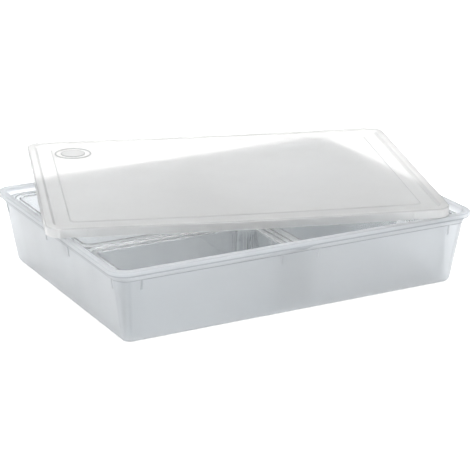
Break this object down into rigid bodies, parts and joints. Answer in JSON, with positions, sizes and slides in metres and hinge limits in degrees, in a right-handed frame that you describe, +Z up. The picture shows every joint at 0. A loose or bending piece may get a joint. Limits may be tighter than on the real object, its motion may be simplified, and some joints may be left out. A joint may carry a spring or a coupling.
{
  "type": "parts organizer box",
  "caption": "Shallow frosted plastic box with a loose recessed lid lying turned on its rim, and clear lift-out trays that divide the inside.",
  "frame": {"origin": "centre of the tub's flat underside", "axes": "+X right along the tub's long front wall, +Y towards the back, +Z up"},
  "size_m": [0.473, 0.4136, 0.0868],
  "materials": {
    "tub_plastic": "frosted translucent polypropylene",
    "lid_plastic": "frosted translucent polypropylene",
    "tray_plastic": "clear glossy polystyrene"
  },
  "bodies": {
    "tub": {"tub": "tub_plastic"},
    "lid": {"lid": "lid_plastic"},
    "front_left_tray": {"front_left_tray": "tray_plastic"},
    "front_right_tray": {"front_right_tray": "tray_plastic"},
    "rear_left_tray": {"rear_left_tray": "tray_plastic"},
    "rear_right_tray": {"rear_right_tray": "tray_plastic"}
  },
  "joints": [
    {"name": "lid_lift", "type": "slide", "parent": "tub", "child": "lid", "axis": [0, 0, 1], "range_m": [0, 0.3]},
    {"name": "front_left_tray_lift", "type": "slide", "parent": "tub", "child": "front_left_tray", "axis": [0, 0, 1], "range_m": [0, 0.12]},
    {"name": "front_right_tray_lift", "type": "slide", "parent": "tub", "child": "front_right_tray", "axis": [0, 0, 1], "range_m": [0, 0.12]},
    {"name": "rear_left_tray_lift", "type": "slide", "parent": "tub", "child": "rear_left_tray", "axis": [0, 0, 1], "range_m": [0, 0.15]},
    {"name": "rear_right_tray_lift", "type": "slide", "parent": "tub", "child": "rear_right_tray", "axis": [0, 0, 1], "range_m": [0, 0.15]}
  ],
  "couplings": [
    {"joint": "front_left_tray_lift", "follows": "lid_lift", "ratio": 0.4},
    {"joint": "front_right_tray_lift", "follows": "lid_lift", "ratio": 0.4},
    {"joint": "rear_left_tray_lift", "follows": "lid_lift", "ratio": 0.5},
    {"joint": "rear_right_tray_lift", "follows": "lid_lift", "ratio": 0.5}
  ]
}
